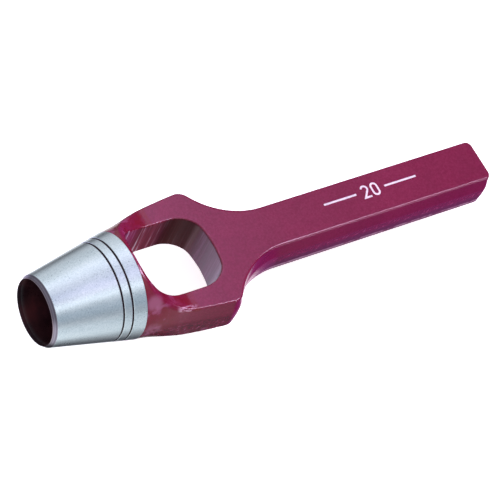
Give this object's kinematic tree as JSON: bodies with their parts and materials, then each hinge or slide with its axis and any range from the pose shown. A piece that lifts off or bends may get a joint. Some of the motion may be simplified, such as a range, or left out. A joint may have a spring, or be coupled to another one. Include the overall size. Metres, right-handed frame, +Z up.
{
  "type": "drive hole punch",
  "caption": "Arch-type drive hole punch for leather and gaskets: round steel tube cutter, open yoke that lets the slugs out, and a flat bar handle struck with a mallet.",
  "frame": {"origin": "centre of the bounding box's base, on the surface that the tool lies on; the rear rim of the cutting head and the lower edge of the struck end touch Z = 0", "axes": "+X from the cutting edge towards the struck end, +Y across the flats' width (the object is mirror symmetric in Y), +Z up; the tool's own axis slopes down from head to handle by 4.03 degrees"},
  "size_m": [0.1596, 0.0398, 0.0324],
  "materials": {
    "painted_forging": "dark raspberry red gloss enamel over a drop forging",
    "turned_steel": "fine turned and satin blasted bare steel, darker at the ground bevel",
    "black_lacquer": "black lacquer in the turned grooves",
    "white_ink": "thin white printing ink"
  },
  "bodies": {
    "root": {"yoke_and_handle": "painted_forging", "cutting_head": "turned_steel", "groove_lacquer_front": "black_lacquer", "groove_lacquer_rear": "black_lacquer", "size_mark": "white_ink"}
  },
  "joints": []
}
